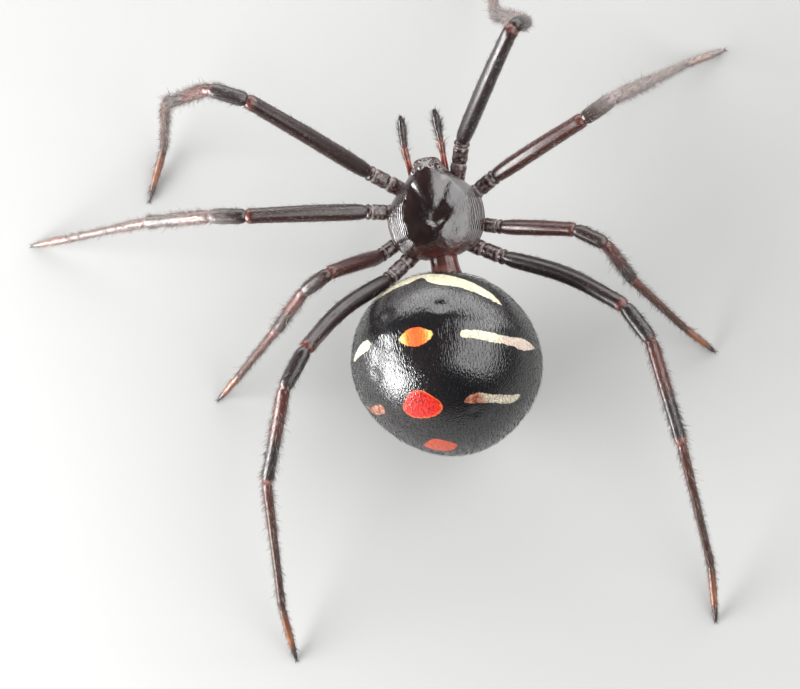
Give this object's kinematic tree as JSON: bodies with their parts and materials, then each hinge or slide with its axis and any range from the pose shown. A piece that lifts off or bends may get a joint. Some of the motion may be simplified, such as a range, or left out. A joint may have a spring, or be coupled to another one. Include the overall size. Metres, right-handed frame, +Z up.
{
  "type": "black widow spider",
  "caption": "Life-size still model of a glossy black spider with a round spotted abdomen and slender bent legs, standing on its feet.",
  "frame": {"origin": "on the floor under the middle of the box round the spider and its spread legs", "axes": "+Y the way the spider faces, +X to its right side, +Z up from the floor"},
  "size_m": [0.021, 0.0224, 0.0071],
  "materials": {
    "shell_brown": "glossy dark red-brown cuticle",
    "shell_black": "glossy black-brown cuticle with sparse hairs",
    "shell_red": "satin reddish brown cuticle",
    "leg_black": "glossy black-brown leg cuticle with short bristles",
    "leg_brown": "satin orange-brown leg ends with short bristles",
    "claw_red": "polished dark red fang",
    "eye_black": "polished black lens",
    "abdomen_black": "satin black with fine short hairs, red spots and cream bands"
  },
  "bodies": {
    "root": {"abdomen": "abdomen_black", "carapace": "shell_brown", "chelicera_left": "shell_brown", "chelicera_right": "shell_brown", "endite_left": "shell_brown", "endite_right": "shell_brown", "eye_front_middle_left": "eye_black", "eye_front_middle_right": "eye_black", "eye_front_side_left": "eye_black", "eye_front_side_right": "eye_black", "eye_rear_middle_left": "eye_black", "eye_rear_middle_right": "eye_black", "eye_rear_side_left": "eye_black", "eye_rear_side_right": "eye_black", "fang_left": "claw_red", "fang_right": "claw_red", "labium": "shell_brown", "leg_1_left_coxa": "leg_black", "leg_1_left_femur": "leg_black", "leg_1_left_tarsus": "leg_brown", "leg_1_left_tibia": "leg_black", "leg_1_right_coxa": "leg_black", "leg_1_right_femur": "leg_black", "leg_1_right_tarsus": "leg_brown", "leg_1_right_tibia": "leg_black", "leg_2_left_coxa": "leg_black", "leg_2_left_femur": "leg_black", "leg_2_left_tarsus": "leg_brown", "leg_2_left_tibia": "leg_black", "leg_2_right_coxa": "leg_black", "leg_2_right_femur": "leg_black", "leg_2_right_tarsus": "leg_brown", "leg_2_right_tibia": "leg_black", "leg_3_left_coxa": "leg_black", "leg_3_left_femur": "leg_black", "leg_3_left_tarsus": "leg_brown", "leg_3_left_tibia": "leg_black", "leg_3_right_coxa": "leg_black", "leg_3_right_femur": "leg_black", "leg_3_right_tarsus": "leg_brown", "leg_3_right_tibia": "leg_black", "leg_4_left_coxa": "leg_black", "leg_4_left_femur": "leg_black", "leg_4_left_tarsus": "leg_brown", "leg_4_left_tibia": "leg_black", "leg_4_right_coxa": "leg_black", "leg_4_right_femur": "leg_black", "leg_4_right_tarsus": "leg_brown", "leg_4_right_tibia": "leg_black", "palp_left_femur": "shell_brown", "palp_left_tarsus": "leg_black", "palp_right_femur": "shell_brown", "palp_right_tarsus": "leg_black", "pedicel": "shell_red", "spinnerets": "shell_brown", "sternum": "shell_black"}
  },
  "joints": []
}
